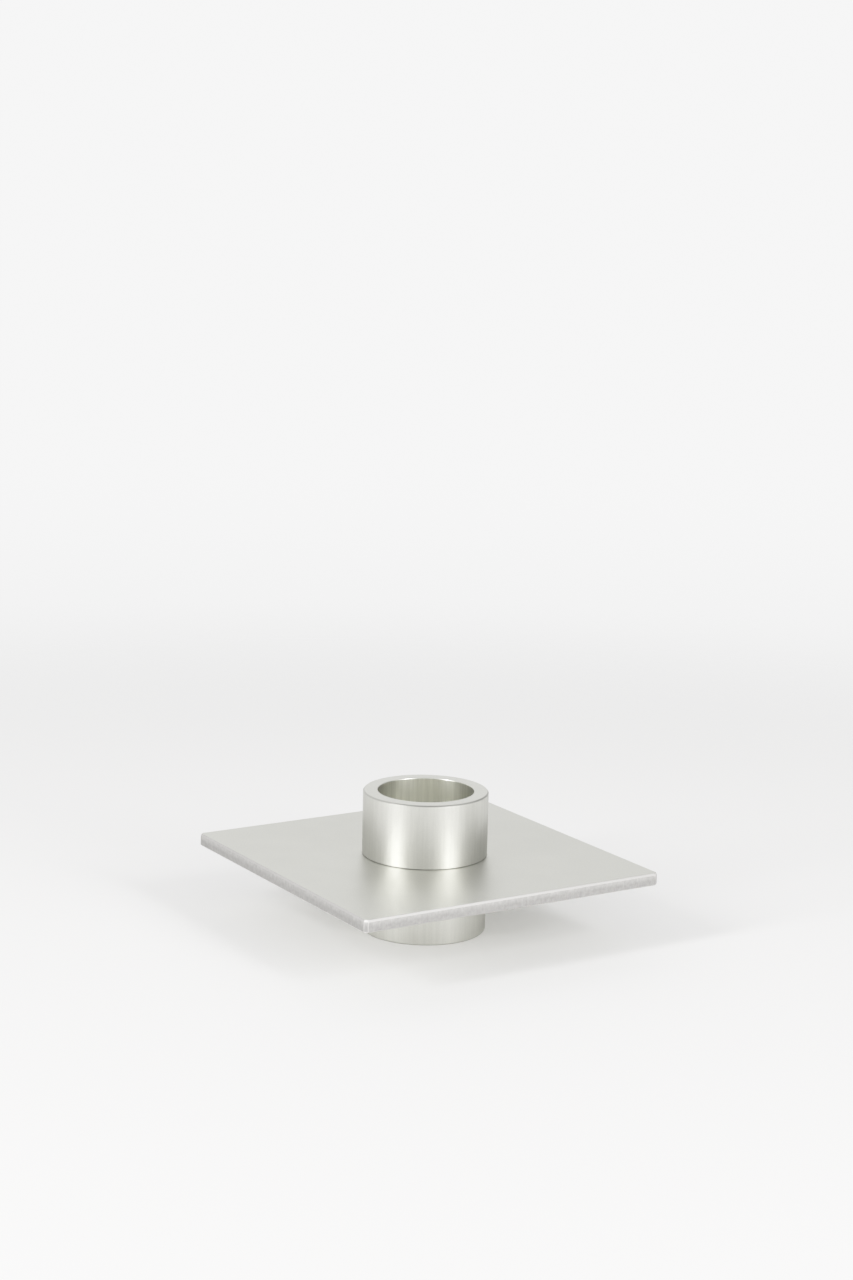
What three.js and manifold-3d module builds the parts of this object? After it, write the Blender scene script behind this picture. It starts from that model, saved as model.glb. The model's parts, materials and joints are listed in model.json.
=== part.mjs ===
// A holder for one 22 mm taper candle: a square aluminium drip plate clamped between two turned
// cups of the same diameter. The upper cup is the candle's socket, and the lower one, turned mouth
// down, is the foot. One countersunk screw joins the three, driven from inside the foot, where no
// wax reaches it.
//
// Millimetres, +Z up. The origin is the centre of the foot's rim, on the table, and X and Y run
// along the plate's sides.

import * as THREE from 'three';
import { mergeVertices } from 'three/addons/utils/BufferGeometryUtils.js';
import Module from 'manifold-3d';

// Driving dimensions
const CUP_DIAMETER = 30;
const CUP_HEIGHT = 15.5;
const BORE_DIAMETER = 23;
const PLATE_SIDE = 80;
const PLATE_THICKNESS = 3;
const SOCKET_FLOOR = 4;
const FOOT_FLOOR = 3.5;

// Broken edges
const OUTER_CHAMFER = 0.3;
const BORE_CHAMFER = 0.2;
const PLATE_CHAMFER = 0.3;
const PLATE_CORNER_CUT = 0.7;

// The M5 countersunk screw with a hexagon socket, and the holes it goes through
const SCREW_RADIUS = 2.5;
const SCREW_LENGTH = 10;
const SCREW_TIP_CHAMFER = 0.5;
const HEAD_RADIUS = 5;
const HEAD_LAND = 0.3;
const HEAD_RECESS = 0.15;
const HEX_ACROSS_FLATS = 3;
const HEX_DEPTH = 1.9;
const CLEARANCE_HOLE_RADIUS = 2.75;
const COUNTERSINK_RADIUS = 5.5;
const THREAD_CLEARANCE = 0.05;
const THREAD_LEAD_IN = 0.3;

// Roundness of turned faces
const CUP_SEGMENTS = 72;
const SCREW_SEGMENTS = 36;

const PLATE_BOTTOM = CUP_HEIGHT;
const SOCKET_BOTTOM = PLATE_BOTTOM + PLATE_THICKNESS;

const wasm = await Module();
wasm.setup();

function aluminium(name, color, roughness) {
  return new THREE.MeshStandardMaterial({ name, color, roughness, metalness: 1 });
}

const satinTurned = aluminium('satin_turned', 0xd6d7d2, 0.3);
const satinPlate = aluminium('satin_plate', 0xd0d1cc, 0.34);
const screwSteel = aluminium('screw_steel', 0xb4b5b6, 0.28);

// Revolves [radius, height] points about Z. The outline runs anticlockwise.
function turned(outline, segments) {
  const points = outline.map(([radius, height]) => new THREE.Vector2(radius, height));
  return new THREE.LatheGeometry(points, segments).rotateX(Math.PI / 2);
}

function toManifold(geometry) {
  const bare = geometry.clone();
  bare.deleteAttribute('normal');
  bare.deleteAttribute('uv');
  const welded = mergeVertices(bare);
  const vertProperties = new Float32Array(welded.attributes.position.array);
  const triVerts = new Uint32Array(welded.index.array);
  return new wasm.Manifold(new wasm.Mesh({ numProp: 3, vertProperties, triVerts }));
}

function fromManifold(solid) {
  const { vertProperties, triVerts } = solid.getMesh();
  const geometry = new THREE.BufferGeometry();
  geometry.setAttribute('position', new THREE.BufferAttribute(vertProperties, 3));
  geometry.setIndex(new THREE.BufferAttribute(triVerts, 1));
  geometry.computeVertexNormals();
  return geometry;
}

// A cup standing mouth up, its closed end at height 0. Its floor has a hole on the axis, which
// opens into a right-angled countersink of radius sinkRadius on the side of the mouth.
function cup(floor, holeRadius, sinkRadius) {
  const outer = CUP_DIAMETER / 2;
  const bore = BORE_DIAMETER / 2;
  const sinkDepth = sinkRadius - holeRadius;
  const outline = [
    [holeRadius, 0],
    [outer - OUTER_CHAMFER, 0],
    [outer, OUTER_CHAMFER],
    [outer, CUP_HEIGHT - OUTER_CHAMFER],
    [outer - OUTER_CHAMFER, CUP_HEIGHT],
    [bore + BORE_CHAMFER, CUP_HEIGHT],
    [bore, CUP_HEIGHT - BORE_CHAMFER],
    [bore, floor],
    [sinkRadius, floor],
    [holeRadius, floor - sinkDepth],
    [holeRadius, 0],
  ];
  return turned(outline, CUP_SEGMENTS);
}

// The upper cup's floor is tapped for the screw. Both threads are kept as plain cylinders.
function candleSocket() {
  const threadRadius = SCREW_RADIUS + THREAD_CLEARANCE;
  const geometry = cup(SOCKET_FLOOR, threadRadius, threadRadius + THREAD_LEAD_IN);
  const mesh = new THREE.Mesh(geometry, satinTurned);
  mesh.position.z = SOCKET_BOTTOM;
  return mesh;
}

function footCup() {
  const geometry = cup(FOOT_FLOOR, CLEARANCE_HOLE_RADIUS, COUNTERSINK_RADIUS);
  const mesh = new THREE.Mesh(geometry, satinTurned);
  mesh.rotation.x = Math.PI;
  mesh.position.z = CUP_HEIGHT;
  return mesh;
}

// A square whose sides are at the distance reach from its middle. At each corner a small flat, at
// 45 degrees to the sides, takes the length cut off both.
function cornerCutSquare(reach, cut) {
  const middle = new THREE.Vector2();
  const points = [];
  for (let corner = 0; corner < 4; corner += 1) {
    const turn = (corner * Math.PI) / 2;
    points.push(new THREE.Vector2(reach, reach - cut).rotateAround(middle, turn));
    points.push(new THREE.Vector2(reach - cut, reach).rotateAround(middle, turn));
  }
  return new THREE.Shape(points);
}

// The extrusion's bevels are the plate's chamfers, so its outline is that of the two flat faces,
// where the sides and the corner flats have all moved in by the chamfer.
function dripPlate() {
  const cut = PLATE_CORNER_CUT - (2 - Math.SQRT2) * PLATE_CHAMFER;
  const shape = cornerCutSquare(PLATE_SIDE / 2 - PLATE_CHAMFER, cut);
  const hole = new THREE.Path();
  hole.absarc(0, 0, CLEARANCE_HOLE_RADIUS + PLATE_CHAMFER, 0, 2 * Math.PI, true);
  shape.holes.push(hole);
  const geometry = new THREE.ExtrudeGeometry(shape, {
    depth: PLATE_THICKNESS - 2 * PLATE_CHAMFER,
    bevelThickness: PLATE_CHAMFER,
    bevelSize: PLATE_CHAMFER,
    bevelSegments: 1,
    curveSegments: 8,
  });
  const mesh = new THREE.Mesh(geometry, satinPlate);
  mesh.position.z = PLATE_BOTTOM + PLATE_CHAMFER;
  return mesh;
}

// The screw stands on its head, which is sunk in the foot cup's floor.
function clampScrew() {
  const coneTop = HEAD_LAND + HEAD_RADIUS - SCREW_RADIUS;
  const body = turned(
    [
      [0, 0],
      [HEAD_RADIUS, 0],
      [HEAD_RADIUS, HEAD_LAND],
      [SCREW_RADIUS, coneTop],
      [SCREW_RADIUS, SCREW_LENGTH - SCREW_TIP_CHAMFER],
      [SCREW_RADIUS - SCREW_TIP_CHAMFER, SCREW_LENGTH],
      [0, SCREW_LENGTH],
    ],
    SCREW_SEGMENTS,
  );
  const hexRadius = HEX_ACROSS_FLATS / Math.sqrt(3);
  const socket = new THREE.CylinderGeometry(hexRadius, hexRadius, 2 * HEX_DEPTH, 6);
  socket.rotateX(Math.PI / 2);
  const solid = toManifold(body).subtract(toManifold(socket));
  const mesh = new THREE.Mesh(fromManifold(solid), screwSteel);
  mesh.position.z = CUP_HEIGHT - FOOT_FLOOR + HEAD_RECESS;
  return mesh;
}

const holder = new THREE.Group();
const pieces = {
  drip_plate: dripPlate(),
  candle_socket: candleSocket(),
  foot_cup: footCup(),
  clamp_screw: clampScrew(),
};
for (const [name, mesh] of Object.entries(pieces)) {
  mesh.name = name;
  holder.add(mesh);
}

export default holder;
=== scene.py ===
"""A taper-candle holder in satin aluminium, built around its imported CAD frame.

A square drip plate is clamped between two turned cups. Every size is in metres, with +Z up, in the
frame of the CAD part: the holder stands on z = 0 and its axis is the Z axis.
"""

import json
import math

import bmesh
import bpy
from mathutils import Matrix, Vector


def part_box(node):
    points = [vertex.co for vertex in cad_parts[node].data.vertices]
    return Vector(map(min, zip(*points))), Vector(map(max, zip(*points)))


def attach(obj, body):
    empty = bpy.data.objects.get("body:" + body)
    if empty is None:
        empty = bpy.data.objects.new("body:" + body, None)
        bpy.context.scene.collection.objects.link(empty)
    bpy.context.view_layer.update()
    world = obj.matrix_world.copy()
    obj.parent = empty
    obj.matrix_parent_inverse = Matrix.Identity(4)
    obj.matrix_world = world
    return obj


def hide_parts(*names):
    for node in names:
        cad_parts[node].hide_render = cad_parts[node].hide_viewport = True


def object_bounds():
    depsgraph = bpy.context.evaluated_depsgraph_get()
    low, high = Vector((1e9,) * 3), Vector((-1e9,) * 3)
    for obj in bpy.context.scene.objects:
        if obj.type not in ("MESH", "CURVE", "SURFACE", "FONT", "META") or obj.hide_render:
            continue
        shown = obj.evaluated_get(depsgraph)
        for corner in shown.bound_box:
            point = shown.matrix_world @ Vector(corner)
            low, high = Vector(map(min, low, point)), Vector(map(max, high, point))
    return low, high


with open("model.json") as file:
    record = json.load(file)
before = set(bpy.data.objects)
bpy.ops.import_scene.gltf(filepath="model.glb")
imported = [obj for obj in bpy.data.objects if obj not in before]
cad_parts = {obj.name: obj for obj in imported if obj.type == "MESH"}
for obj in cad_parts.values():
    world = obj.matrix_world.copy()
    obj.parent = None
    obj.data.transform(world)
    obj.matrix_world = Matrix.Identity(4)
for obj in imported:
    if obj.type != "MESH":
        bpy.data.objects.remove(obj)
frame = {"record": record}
cad_low, cad_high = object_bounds()

MM = 0.001

# Sizes from the frame
socket_low, socket_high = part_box("candle_socket")
foot_low, foot_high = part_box("foot_cup")
plate_low, plate_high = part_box("drip_plate")
screw_low, screw_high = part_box("clamp_screw")
mounts = {mount["name"]: mount for mount in frame["record"]["mounts"]}
CUP_RADIUS = socket_high.x
SEAT_HEIGHT = mounts["candle_seat"]["pos_m"][2]
PLATE_REACH = plate_high.x
SCREW_HEAD_RADIUS = screw_high.x

# Sizes the frame's boxes don't give
BORE_RADIUS = 11.5 * MM
FOOT_FLOOR = 3.5 * MM
HOLE_RADIUS = 2.75 * MM
SINK_RADIUS = 5.5 * MM
THREAD_RADIUS = 2.5 * MM
THREAD_CLEARANCE = 0.05 * MM
THREAD_LEAD_IN = 0.4 * MM

# Edges of the cups, and the groove that parts each cup from the plate
CUP_CHAMFER = 0.3 * MM
BORE_EDGE = 0.2 * MM
BORE_CORNER = 0.5 * MM
FINE_EDGE = 0.12 * MM
TINY_EDGE = 0.05 * MM
RELIEF_HEIGHT = 0.12 * MM
RELIEF_DEPTH = 0.4 * MM

# Edges of the plate: the upper one comes in by PLATE_EDGE as it rises by PLATE_EDGE_FALL
PLATE_EDGE = 0.28 * MM
PLATE_EDGE_FALL = 0.5 * MM
PLATE_UNDER_EDGE = 0.25 * MM
EASED = 0.15 * MM
SIDE_EASED = 0.45 * MM
CORNER_CUT = 0.7 * MM
CORNER_EDGE = 0.25 * MM
CORNER_TAPER = 0.4

# The screw
HEAD_LAND = 0.3 * MM
HEX_ACROSS_FLATS = 3.0 * MM
HEX_DEPTH = 1.9 * MM
HEX_DRILL_POINT = 0.4 * MM
SCREW_POINT = 0.5 * MM
THREAD_PITCH = 0.8 * MM
THREAD_DEPTH = 0.4 * MM
THREAD_CREST = 0.2

# Fineness of the meshes
CUP_SEGMENTS = 256
SCREW_SEGMENTS = 96
THREAD_STEPS = 12
ARC_STEPS = 6
SIDE_POINTS = 96
FACE_RINGS = 6
SUPPORT = 0.05 * MM


# ---------------------------------------------------------------- mesh building


def rounded_outline(corners):
    """A closed outline from (radius, height, edge radius) corners, each rounded with a tangent arc.

    The short support stretch beside each arc keeps smooth shading off the flat faces.
    """
    points = []
    count = len(corners)
    for i, (x, y, radius) in enumerate(corners):
        here = Vector((x, y))
        before = (Vector(corners[i - 1][:2]) - here).normalized()
        after = (Vector(corners[(i + 1) % count][:2]) - here).normalized()
        half = before.angle(after) / 2
        reach = radius / math.tan(half)
        centre = here + (before + after).normalized() * (radius / math.sin(half))
        start = here + before * reach - centre
        turn = math.pi - 2 * half
        if start.cross(here + after * reach - centre) < 0:
            turn = -turn
        points.append(here + before * (reach + SUPPORT))
        for step in range(ARC_STEPS + 1):
            arm = start.copy()
            arm.rotate(Matrix.Rotation(turn * step / ARC_STEPS, 2))
            points.append(centre + arm)
        points.append(here + after * (reach + SUPPORT))
    return points


def new_object(name, data):
    thing = bpy.data.objects.new(name, data)
    bpy.context.scene.collection.objects.link(thing)
    return thing


def object_from_bmesh(name, bm):
    bmesh.ops.recalc_face_normals(bm, faces=bm.faces)
    for face in bm.faces:
        face.smooth = True
    data = bpy.data.meshes.new(name)
    bm.to_mesh(data)
    bm.free()
    return new_object(name, data)


def round_ring(bm, segments, radius, z):
    """Vertices round the Z axis. Radius is a length, or a function of the angle round the axis."""
    ring = []
    for i in range(segments):
        angle = 2 * math.pi * i / segments
        reach = radius(angle) if callable(radius) else radius
        ring.append(bm.verts.new((reach * math.cos(angle), reach * math.sin(angle), z)))
    return ring


def bridge(bm, rings):
    """Quads between each ring and the next. All have the same number of vertices."""
    for a, b in zip(rings, rings[1:]):
        for i in range(len(a)):
            j = (i + 1) % len(a)
            bm.faces.new((a[i], a[j], b[j], b[i]))


def cap(bm, ring, z):
    """Triangles from a ring to a point on the Z axis."""
    tip = bm.verts.new((0, 0, z))
    for i in range(len(ring)):
        bm.faces.new((tip, ring[i], ring[(i + 1) % len(ring)]))


def finish_piece(piece, node, material):
    piece.data.materials.append(material)
    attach(piece, "root")
    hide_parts(node)


# ---------------------------------------------------------------- the cups


def cup_outline(mouth, shut, floor, hole_radius, sink_radius):
    """The outline of a cup whose mouth and shut end are at the heights given.

    The shut end is relieved at its rim, so that it meets the plate along a fine dark groove.
    """
    up = 1 if mouth > shut else -1
    seat = shut + up * floor
    sink = sink_radius - hole_radius
    groove = shut + up * RELIEF_HEIGHT
    return rounded_outline(
        [
            (hole_radius, shut, FINE_EDGE),
            (CUP_RADIUS - RELIEF_DEPTH, shut, TINY_EDGE),
            (CUP_RADIUS - RELIEF_DEPTH, groove, TINY_EDGE),
            (CUP_RADIUS, groove, TINY_EDGE),
            (CUP_RADIUS, mouth - up * CUP_CHAMFER, TINY_EDGE),
            (CUP_RADIUS - CUP_CHAMFER, mouth, TINY_EDGE),
            (BORE_RADIUS, mouth, BORE_EDGE),
            (BORE_RADIUS, seat, BORE_CORNER),
            (sink_radius, seat, FINE_EDGE),
            (hole_radius, seat - up * sink, FINE_EDGE),
        ]
    )


def build_cup(name, outline, node, material):
    """Revolves an outline about the Z axis."""
    bm = bmesh.new()
    rings = [round_ring(bm, CUP_SEGMENTS, point.x, point.y) for point in outline]
    bridge(bm, rings + rings[:1])
    finish_piece(object_from_bmesh(name, bm), node, material)


def build_socket(material):
    floor = SEAT_HEIGHT - socket_low.z
    hole = THREAD_RADIUS + THREAD_CLEARANCE
    outline = cup_outline(socket_high.z, socket_low.z, floor, hole, hole + THREAD_LEAD_IN)
    build_cup("socket", outline, "candle_socket", material)


def build_foot(material):
    outline = cup_outline(foot_low.z, foot_high.z, FOOT_FLOOR, HOLE_RADIUS, SINK_RADIUS)
    build_cup("foot", outline, "foot_cup", material)


# ---------------------------------------------------------------- the plate


def square_loop(inset):
    """Points round the plate, drawn in by inset. Each corner is a small flat between two fine edges."""
    reach = PLATE_REACH - inset
    corner = PLATE_REACH - CORNER_CUT - inset * (math.sqrt(2) - 1)
    radius = CORNER_EDGE * (1 - CORNER_TAPER * inset / PLATE_EDGE)
    centre = corner - radius * math.tan(math.pi / 8)
    side = [(reach, -centre + 2 * centre * i / SIDE_POINTS) for i in range(SIDE_POINTS)]
    for x, y, first in ((reach - radius, centre, 0), (centre, reach - radius, 1)):
        for step in range(ARC_STEPS + 1):
            angle = math.pi / 4 * (first + step / ARC_STEPS)
            side.append((x + radius * math.cos(angle), y + radius * math.sin(angle)))
    # The next side starts with this point
    del side[-1]
    points = []
    for quarter in range(4):
        turn = Matrix.Rotation(quarter * math.pi / 2, 2)
        points += [turn @ Vector(point) for point in side]
    return points


def circle_loop(radius):
    """Points round the plate's hole, matched one to one with those of square_loop."""
    return [point.normalized() * radius for point in square_loop(0)]


def plate_edge_outline(bottom, top):
    """The plate's side from bottom to top, as (distance out from the side, height)."""
    outline = rounded_outline(
        [
            (-PLATE_REACH, top, TINY_EDGE),
            (-PLATE_REACH, bottom, TINY_EDGE),
            (-PLATE_UNDER_EDGE, bottom, EASED),
            (0, bottom + PLATE_UNDER_EDGE, EASED),
            (0, top - PLATE_EDGE_FALL, SIDE_EASED),
            (-PLATE_EDGE, top, EASED),
        ]
    )
    return [point for point in outline if point.x > -PLATE_REACH / 2]


def build_plate(face_material, side_material):
    bm = bmesh.new()
    bottom, top = plate_low.z, plate_high.z
    rings = []

    def add_ring(points, z):
        rings.append([bm.verts.new((p.x, p.y, z)) for p in points])

    def add_face(edge, z, shares):
        """The rings of a flat face, between the hole and the edge."""
        inner = circle_loop(HOLE_RADIUS + FINE_EDGE)
        outer = square_loop(edge + EASED + SUPPORT)
        for share in shares:
            add_ring([a.lerp(b, share) for a, b in zip(inner, outer)], z)

    # The rings lie closer together near the hole
    shares = [(step / FACE_RINGS) ** 1.5 for step in range(FACE_RINGS + 1)]
    add_ring(circle_loop(HOLE_RADIUS), bottom + FINE_EDGE)
    add_face(PLATE_UNDER_EDGE, bottom, shares)
    for point in plate_edge_outline(bottom, top):
        add_ring(square_loop(-point.x), point.y)
    add_face(PLATE_EDGE, top, reversed(shares))
    add_ring(circle_loop(HOLE_RADIUS), top - FINE_EDGE)
    bridge(bm, rings + rings[:1])
    piece = object_from_bmesh("plate", bm)
    finish_piece(piece, "drip_plate", face_material)
    piece.data.materials.append(side_material)
    for face in piece.data.polygons:
        on_side = face.center.xy.length > PLATE_REACH / 2 and abs(face.normal.z) < 0.9
        face.material_index = 1 if on_side else 0


# ---------------------------------------------------------------- the screw


def hexagon_radius(angle):
    """How far the hexagon socket's wall is from the axis at this angle."""
    sixth = math.pi / 3
    return HEX_ACROSS_FLATS / 2 / math.cos((angle + sixth / 2) % sixth - sixth / 2)


def thread_depth(angle, height):
    """How deep a right-handed V thread is below its crest, counted from where the shank starts."""
    phase = (height / THREAD_PITCH - angle / (2 * math.pi)) % 1
    return THREAD_DEPTH * max(0, abs(2 * phase - 1) - THREAD_CREST) / (1 - THREAD_CREST)


def build_screw(material):
    base, tip = screw_low.z, screw_high.z
    shank = base + HEAD_LAND + SCREW_HEAD_RADIUS - THREAD_RADIUS
    bm = bmesh.new()
    rings = []

    def add_ring(radius, z):
        rings.append(round_ring(bm, SCREW_SEGMENTS, radius, z))

    # The socket, from its floor down to the head's face, then the head
    add_ring(lambda angle: hexagon_radius(angle) - TINY_EDGE, base + HEX_DEPTH)
    add_ring(hexagon_radius, base + HEX_DEPTH - TINY_EDGE)
    add_ring(hexagon_radius, base + FINE_EDGE)
    add_ring(lambda angle: hexagon_radius(angle) + FINE_EDGE, base)
    add_ring(SCREW_HEAD_RADIUS - FINE_EDGE - SUPPORT, base)
    add_ring(SCREW_HEAD_RADIUS - FINE_EDGE, base)
    add_ring(SCREW_HEAD_RADIUS - FINE_EDGE * 0.3, base + FINE_EDGE * 0.3)
    add_ring(SCREW_HEAD_RADIUS, base + FINE_EDGE)
    add_ring(SCREW_HEAD_RADIUS, base + HEAD_LAND)
    add_ring(THREAD_RADIUS, shank)

    # The thread, which deepens over its first turn and is cut down to a cone at the point
    length = tip - shank
    steps = round(length / THREAD_PITCH * THREAD_STEPS)
    for step in range(1, steps + 1):
        height = length * step / steps
        cone = THREAD_RADIUS - max(0, height - (length - SCREW_POINT))
        start = min(1, height / THREAD_PITCH)
        add_ring(
            lambda angle: min(cone, THREAD_RADIUS - start * thread_depth(angle, height)),
            shank + height,
        )
    bridge(bm, rings)
    cap(bm, rings[0], base + HEX_DEPTH + HEX_DRILL_POINT)
    cap(bm, rings[-1], tip)
    finish_piece(object_from_bmesh("screw", bm), "clamp_screw", material)


# ---------------------------------------------------------------- materials


def shaded(color, factor):
    return tuple(channel * factor for channel in color)


class Nodes:
    """A node tree that is built one call at a time."""

    def __init__(self, tree):
        self.tree = tree
        tree.nodes.clear()

    def add(self, kind, *inputs, **settings):
        """Adds a node. Each input is a value, an output socket, or None to leave it alone."""
        node = self.tree.nodes.new(kind)
        for key, value in settings.items():
            setattr(node, key, value)
        for socket, value in zip(node.inputs, inputs):
            self.feed(socket, value)
        return node

    def feed(self, socket, value):
        if isinstance(value, bpy.types.NodeSocket):
            self.tree.links.new(value, socket)
        elif value is not None:
            socket.default_value = value

    def math(self, operation, *values):
        return self.add("ShaderNodeMath", *values, operation=operation).outputs[0]

    def multiply(self, vector, factors):
        """A vector or colour times a vector or a plain level."""
        return self.add("ShaderNodeVectorMath", vector, factors, operation="MULTIPLY").outputs[0]

    def split(self, vector):
        """The X, Y and Z of a vector."""
        return tuple(self.add("ShaderNodeSeparateXYZ", vector).outputs)

    def length(self, vector):
        return self.add("ShaderNodeVectorMath", vector, operation="LENGTH").outputs["Value"]

    def smooth(self, value, low, high):
        """0 at low, 1 at high, and an S curve between them. Low may be the greater of the two."""
        node = self.add("ShaderNodeMapRange", value, low, high, 0.0, 1.0)
        node.interpolation_type = "SMOOTHSTEP"
        return node.outputs[0]

    def blend(self, share, a, b):
        """a where share is 0 and b where it is 1, for plain numbers."""
        return self.add("ShaderNodeMix", share, None, a, b).outputs[0]

    def tint(self, share, dark, light):
        """The colour dark where share is 0 and light where it is 1."""
        node = self.add("ShaderNodeMix", share, data_type="RGBA")
        for socket, color in zip(node.inputs[6:8], (dark, light)):
            self.feed(socket, color if isinstance(color, bpy.types.NodeSocket) else (*color, 1))
        return node.outputs[2]

    def varied(self, share, color, spread):
        """The colour, darker by spread where share is 0 and lighter by spread where it is 1."""
        return self.tint(share, shaded(color, 1 - spread), shaded(color, 1 + spread))

    def ring_ramp(self, turn, levels):
        """Evenly spaced levels round one turn, from 0 to 1, that end where they start."""
        node = self.add("ShaderNodeValToRGB", turn)
        elements = node.color_ramp.elements
        while len(elements) < len(levels) + 1:
            elements.new(0.5)
        for i, element in enumerate(elements):
            level = levels[i % len(levels)]
            element.position = i / len(levels)
            element.color = (level, level, level, 1)
        return node.outputs[0]

    def noise(self, place, per_mm, detail, roughness=0.5):
        node = self.add("ShaderNodeTexNoise")
        self.feed(node.inputs["Vector"], place)
        self.feed(node.inputs["Scale"], per_mm)
        self.feed(node.inputs["Detail"], detail)
        self.feed(node.inputs["Roughness"], roughness)
        return node.outputs["Fac"]

    def bump(self, height, depth, strength=1.0):
        """A bumped normal, where height 1 stands depth metres above height 0."""
        node = self.add("ShaderNodeBump")
        self.feed(node.inputs["Height"], height)
        self.feed(node.inputs["Distance"], depth)
        self.feed(node.inputs["Strength"], strength)
        return node.outputs["Normal"]

    def normal(self):
        """The X, Y and Z of the surface's own normal."""
        return self.split(self.add("ShaderNodeNewGeometry").outputs["Normal"])

    def millimetres(self):
        """The shaded point's place in the part's frame, in millimetres."""
        place = self.add("ShaderNodeTexCoord").outputs["Object"]
        return self.multiply(place, (1 / MM, 1 / MM, 1 / MM))

    def from_axis(self, place):
        """How far a place is from the Z axis."""
        x, y, _ = self.split(place)
        return self.length(self.add("ShaderNodeCombineXYZ", x, y).outputs[0])

    def metal(self, color, roughness, normal, graze=1.0):
        """The metal itself. Graze under 1 darkens it where it is seen edge on, as an oxide film does."""
        shader = self.add("ShaderNodeBsdfPrincipled")
        self.feed(shader.inputs["Specular Tint"], (graze, graze, graze, 1))
        self.feed(shader.inputs["Base Color"], color)
        self.feed(shader.inputs["Metallic"], 1.0)
        self.feed(shader.inputs["Roughness"], roughness)
        self.feed(shader.inputs["Normal"], normal)
        self.add("ShaderNodeOutputMaterial", shader.outputs[0])


def new_material(name):
    material = bpy.data.materials.new(name)
    material.use_nodes = True
    return material, Nodes(material.node_tree)


# The look of anodised metal, and the depth of its blasted grain
ANODISED = (0.645, 0.645, 0.598)
FILM = 0.7
GRAIN_DEPTH = 0.02 * MM

# The cups
CUP_ROUGHNESS = 0.37
BORE_TONE = (0.765, 0.765, 0.7)
BORE_ROUGHNESS = 0.31
EDGE_ROUGHNESS = 0.3
# The cups' chamfers and rounded edges are painted darker than their faces: painted shade
EDGE_PAINTED_SHADE = 0.85
MOUTH_SHADE = 1.1

# The plate's faces, its cut sides and its rubbed edges
PLATE_ROUGHNESS = 0.42
CUT_TONE = (0.46, 0.452, 0.44)
CUT_ROUGHNESS = 0.5
RUBBED_TONE = (0.575, 0.565, 0.55)
RUBBED_ROUGHNESS = 0.52
# The fine edges beside the corner flats are painted brighter than the other rubbed edges: a painted
# highlight
CORNER_PAINTED_HIGHLIGHT = 1.3
CUT_DEPTH = 0.05 * MM

# The screw, whose turned rings are counted in radians per millimetre
STEEL_TONE = (0.58, 0.57, 0.55)
STEEL_ROUGHNESS = 0.28
STEEL_DEPTH = 0.003 * MM
STEEL_RINGS = 60.0


def blasted(nodes, place, roughness):
    """The fleck, roughness and relief of blasted and anodised metal, which has a fine even grain."""
    cloud = nodes.noise(place, per_mm=0.15, detail=3.0)
    mottle = nodes.noise(place, per_mm=1.2, detail=3.0, roughness=0.6)
    grain = nodes.noise(place, per_mm=2.6, detail=4.0, roughness=0.7)
    fleck = nodes.blend(0.5, nodes.smooth(grain, 0.35, 0.65), cloud)
    rough = nodes.math("MULTIPLY_ADD", nodes.math("ADD", mottle, grain), 0.08, roughness - 0.08)
    height = nodes.math("MULTIPLY_ADD", mottle, 0.6, grain)
    return fleck, rough, height


def plate_satin():
    """The plate's two faces: blasted and anodised."""
    material, nodes = new_material("satin_plate")
    fleck, rough, height = blasted(nodes, nodes.millimetres(), PLATE_ROUGHNESS)
    tone = nodes.varied(fleck, ANODISED, 0.06)
    nodes.metal(tone, rough, nodes.bump(height, GRAIN_DEPTH), FILM)
    return material


def turned_satin():
    """The cups: blasted and anodised outside, and as turned in the bore.

    Faint tool marks run round them under the grain, and faint streaks run up them. Their edges are
    smoother than their faces and painted darker, a painted shade for the dark room above that the
    chamfers mirror; the bore's mouth is rubbed bright instead.
    """
    material, nodes = new_material("satin_turned")
    place = nodes.millimetres()
    fleck, rough, height = blasted(nodes, place, CUP_ROUGHNESS)
    streaks = nodes.noise(nodes.multiply(place, (1, 1, 0.04)), per_mm=1.4, detail=3.0, roughness=0.7)
    streaks = nodes.smooth(streaks, 0.3, 0.7)
    radius = nodes.from_axis(place)
    path = nodes.add("ShaderNodeCombineXYZ", radius, nodes.split(place)[2]).outputs[0]
    marks = nodes.noise(path, per_mm=5.0, detail=2.0, roughness=0.7)

    # Where the surface is: in the bore, at its mouth, or on a chamfer or rounded edge
    bore = BORE_RADIUS / MM
    inside = nodes.smooth(radius, bore + 0.1, bore)
    mouth = nodes.smooth(radius, bore + 0.6, bore + 0.4)
    level = nodes.math("ABSOLUTE", nodes.normal()[2])
    edge = nodes.math("MULTIPLY", nodes.smooth(level, 0.1, 0.2), nodes.smooth(level, 1.0, 0.9))

    tone = nodes.varied(nodes.blend(0.5, fleck, streaks), ANODISED, 0.08)
    # Painted shade: the chamfers and rounded edges are darkened
    tone = nodes.tint(edge, tone, shaded(ANODISED, EDGE_PAINTED_SHADE))
    tone = nodes.tint(nodes.math("MULTIPLY", edge, mouth), tone, shaded(ANODISED, MOUTH_SHADE))
    tone = nodes.tint(inside, tone, nodes.varied(streaks, BORE_TONE, 0.09))
    bore_rough = nodes.math("MULTIPLY_ADD", marks, 0.1, BORE_ROUGHNESS - 0.05)
    rough = nodes.blend(edge, rough, EDGE_ROUGHNESS)
    rough = nodes.blend(inside, rough, bore_rough)
    grained = nodes.math("MULTIPLY_ADD", marks, 0.25, height)
    height = nodes.blend(inside, grained, nodes.math("MULTIPLY", marks, 0.5))
    nodes.metal(tone, rough, nodes.bump(height, GRAIN_DEPTH), FILM)
    return material


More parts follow.
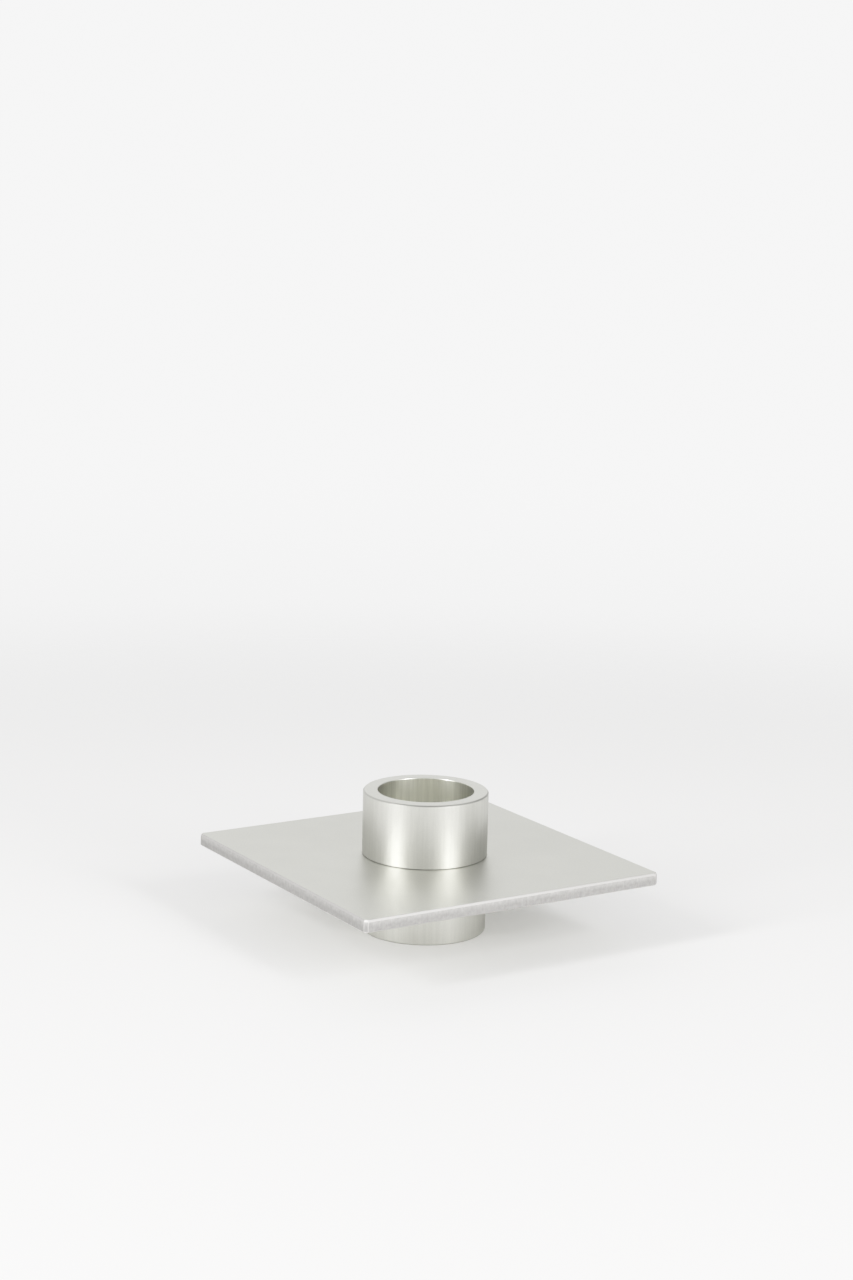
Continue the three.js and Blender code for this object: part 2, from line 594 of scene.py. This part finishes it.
def plate_cut():
    """The plate's sawn sides: mottled, with fine marks through the thickness.

    Their edges are rubbed, and the fine edges along both sides of each corner flat are painted
    brighter still, a painted highlight on top of the wear. The upper part of each side is painted a
    little lighter and the lower part a little darker: painted light and shade.
    """
    material, nodes = new_material("plate_cut")
    place = nodes.millimetres()
    marks = nodes.noise(nodes.multiply(place, (1, 1, 0.25)), per_mm=2.6, detail=3.0, roughness=0.6)
    mottle = nodes.noise(place, per_mm=1.1, detail=4.0, roughness=0.6)
    mixed = nodes.blend(0.5, marks, mottle)

    # The product of X and Y is 0 on the sides and 0.5 on the corner flats
    x, y, z = nodes.normal()
    level = nodes.smooth(nodes.math("ABSOLUTE", z), 0.05, 0.4)
    across = nodes.math("ABSOLUTE", nodes.math("MULTIPLY", x, y))
    corner = nodes.math("MULTIPLY", nodes.smooth(across, 0.05, 0.25), nodes.smooth(across, 0.49, 0.42))
    rubbed = nodes.math("MAXIMUM", level, corner)

    top = plate_high.z / MM
    # Painted light and shade: each side is lighter near its top and darker towards its bottom
    lower = nodes.smooth(nodes.split(place)[2], top - 0.7, top - 1.9)
    cut_tone = nodes.varied(nodes.smooth(mixed, 0.3, 0.7), CUT_TONE, 0.17)
    cut_tone = nodes.multiply(cut_tone, nodes.blend(lower, 1.06, 0.88))
    rubbed_tone = nodes.varied(marks, RUBBED_TONE, 0.1)
    # Painted highlight: the fine edges beside the corner flats are made brighter still
    rubbed_tone = nodes.tint(corner, rubbed_tone, shaded(RUBBED_TONE, CORNER_PAINTED_HIGHLIGHT))
    tone = nodes.tint(rubbed, cut_tone, rubbed_tone)
    base_rough = nodes.blend(rubbed, CUT_ROUGHNESS, RUBBED_ROUGHNESS)
    rough = nodes.math("MULTIPLY_ADD", marks, 0.2, base_rough)
    normal = nodes.bump(mixed, CUT_DEPTH, nodes.blend(rubbed, 1.0, 0.5))
    nodes.metal(tone, rough, normal, FILM)
    return material


def bright_steel():
    """Stainless steel with the faint rings of a turned screw head."""
    material, nodes = new_material("screw_steel")
    place = nodes.millimetres()
    rings = nodes.math("SINE", nodes.math("MULTIPLY", nodes.from_axis(place), STEEL_RINGS))
    grain = nodes.noise(place, per_mm=3.0, detail=3.0)
    tone = nodes.varied(grain, STEEL_TONE, 0.08)
    rough = nodes.math("MULTIPLY_ADD", grain, 0.1, STEEL_ROUGHNESS - 0.05)
    height = nodes.math("MULTIPLY_ADD", rings, 0.3, grain)
    nodes.metal(tone, rough, nodes.bump(height, STEEL_DEPTH))
    return material


# ---------------------------------------------------------------- the studio

# A paper disc that fades out between the two radii
FLOOR_RADIUS = 0.6
FLOOR_FADE = (0.17, 0.45)
PAPER = (0.93, 0.925, 0.92, 1)
# The paper's faint glow is painted light that lifts the shadows on it
PAPER_PAINTED_GLOW = 0.035

# The camera, as seen from the holder's middle
CAMERA_AZIMUTH = math.radians(-32.25)
CAMERA_ELEVATION = math.radians(16.11)
CAMERA_DISTANCE = 0.6075
CAMERA_YAW = math.radians(-32.18)
CAMERA_PITCH = math.radians(-11.16)
CAMERA_ROLL = math.radians(1.36)
CAMERA_LENS = 70.94

# Two tall softboxes, of a different width and power each
SOFTBOX_ELEVATION = math.radians(23)
SOFTBOX_DISTANCE = 0.9
SOFTBOX_HEIGHT = 0.65

# Brightness of the studio at each eighth of a turn round the holder, from behind it past the left
# side, the camera and the right side, near the table and higher up
LOW_STUDIO = (0.96, 0.6, 0.18, 0.38, 0.45, 0.5, 0.12, 0.25)
HIGH_STUDIO = (0.78, 0.6, 0.55, 0.72, 0.42, 0.62, 0.45, 0.36)
ZENITH = 0.27
TABLE_GLOW = 0.8

# Brightness of the backdrop 25, 14 and 7 degrees below the horizon; the darker band at 14 degrees is
# painted shade
BACKDROP_FRONT = 0.82
BACKDROP_SHADE = 0.71
BACKDROP_TOP = 0.81

# How strongly the highlights roll off, and the points of the curve that does it
ROLL_OFF = 1.8
CURVE_STEPS = 12


def direction(azimuth, elevation):
    """A unit vector: azimuth 0 is -Y and turns towards +X."""
    flat = math.cos(elevation)
    return Vector((math.sin(azimuth) * flat, -math.cos(azimuth) * flat, math.sin(elevation)))


def make_camera():
    centre = Vector((0, 0, (cad_low.z + cad_high.z) / 2))
    data = bpy.data.cameras.new("camera")
    data.lens = CAMERA_LENS
    data.sensor_width = 36
    data.clip_start = 0.01
    data.clip_end = 20
    camera = new_object("camera", data)
    place = centre + direction(CAMERA_AZIMUTH, CAMERA_ELEVATION) * CAMERA_DISTANCE
    yaw = Matrix.Rotation(CAMERA_YAW, 4, "Z")
    pitch = Matrix.Rotation(math.pi / 2 + CAMERA_PITCH, 4, "X")
    roll = Matrix.Rotation(CAMERA_ROLL, 4, "Z")
    camera.matrix_world = Matrix.Translation(place) @ yaw @ pitch @ roll
    bpy.context.scene.camera = camera


def softbox(name, azimuth, width, power):
    """A rectangular light that faces the holder; azimuth is counted from the camera."""
    data = bpy.data.lights.new(name, "AREA")
    data.shape = "RECTANGLE"
    data.size = width
    data.size_y = SOFTBOX_HEIGHT
    data.energy = power
    lamp = new_object(name, data)
    away = direction(CAMERA_AZIMUTH + azimuth, SOFTBOX_ELEVATION)
    lamp.location = away * SOFTBOX_DISTANCE
    lamp.rotation_mode = "QUATERNION"
    lamp.rotation_quaternion = away.to_track_quat("Z", "Y")
    lamp.visible_camera = False


def build_floor():
    """A pale paper disc with a faint painted glow that lifts its shadows; it fades into the backdrop so
    no horizon shows.
    """
    bm = bmesh.new()
    bmesh.ops.create_circle(bm, cap_ends=True, segments=128, radius=FLOOR_RADIUS)
    floor = object_from_bmesh("floor", bm)
    material, nodes = new_material("paper")
    radius = nodes.length(nodes.add("ShaderNodeNewGeometry").outputs["Position"])
    paper = nodes.add("ShaderNodeBsdfDiffuse", PAPER).outputs[0]
    # Painted light: the paper glows faintly
    glow = nodes.add("ShaderNodeEmission", (1, 1, 1, 1), PAPER_PAINTED_GLOW).outputs[0]
    lit = nodes.add("ShaderNodeAddShader", paper, glow).outputs[0]
    clear = nodes.add("ShaderNodeBsdfTransparent").outputs[0]
    mixed = nodes.add("ShaderNodeMixShader", nodes.smooth(radius, *FLOOR_FADE), lit, clear).outputs[0]
    nodes.add("ShaderNodeOutputMaterial", mixed)
    floor.data.materials.append(material)


def build_world():
    """The backdrop as the camera sees it, and the whole studio as the metal and floor see it."""
    world = bpy.data.worlds.new("studio")
    world.use_nodes = True
    nodes = Nodes(world.node_tree)
    turned = nodes.add("ShaderNodeVectorRotate", rotation_type="Z_AXIS")
    nodes.feed(turned.inputs["Vector"], nodes.add("ShaderNodeTexCoord").outputs["Generated"])
    nodes.feed(turned.inputs["Angle"], -CAMERA_AZIMUTH)
    x, y, z = nodes.split(turned.outputs[0])
    around = nodes.math("ARCTAN2", x, nodes.math("MULTIPLY", y, -1.0))
    around = nodes.math("MULTIPLY_ADD", around, 0.5 / math.pi, 0.5)
    height = nodes.math("ARCSINE", z)

    def rise(low, high):
        """0 below the low elevation and 1 above the high one, both in degrees."""
        return nodes.smooth(height, math.radians(low), math.radians(high))

    low_walls = nodes.ring_ramp(around, LOW_STUDIO)
    high_walls = nodes.ring_ramp(around, HIGH_STUDIO)
    walls = nodes.blend(rise(15, 45), low_walls, high_walls)
    room = nodes.blend(rise(50, 75), walls, ZENITH)
    studio = nodes.blend(rise(-2, 2), TABLE_GLOW, room)
    # Painted shade: a darker band across the backdrop
    shade = nodes.blend(rise(-25, -14), BACKDROP_FRONT, BACKDROP_SHADE)
    backdrop = nodes.blend(rise(-14, -7), shade, BACKDROP_TOP)
    seen = nodes.add("ShaderNodeLightPath").outputs["Is Camera Ray"]
    light = nodes.add("ShaderNodeBackground", nodes.blend(seen, studio, backdrop), 1.0).outputs[0]
    nodes.add("ShaderNodeOutputWorld", light)
    bpy.context.scene.world = world


def develop():
    """Rolls the highlights off as a print does: light level 1 is white, and the middle is lifted."""
    view = bpy.context.scene.view_settings
    view.view_transform = "Standard"
    view.use_curve_mapping = True
    mapping = view.curve_mapping
    # The fourth curve is the one for all three channels together
    points = mapping.curves[3].points
    white = 1 - math.exp(-ROLL_OFF)
    for step in range(1, CURVE_STEPS):
        level = step / CURVE_STEPS
        points.new(level, (1 - math.exp(-ROLL_OFF * level)) / white)
    mapping.update()


cup_metal = turned_satin()
build_socket(cup_metal)
build_foot(cup_metal)
build_plate(plate_satin(), plate_cut())
build_screw(bright_steel())

make_camera()
build_floor()
softbox("left_softbox", math.radians(-53), 0.14, 3.85)
softbox("right_softbox", math.radians(47), 0.17, 3.45)
build_world()
develop()
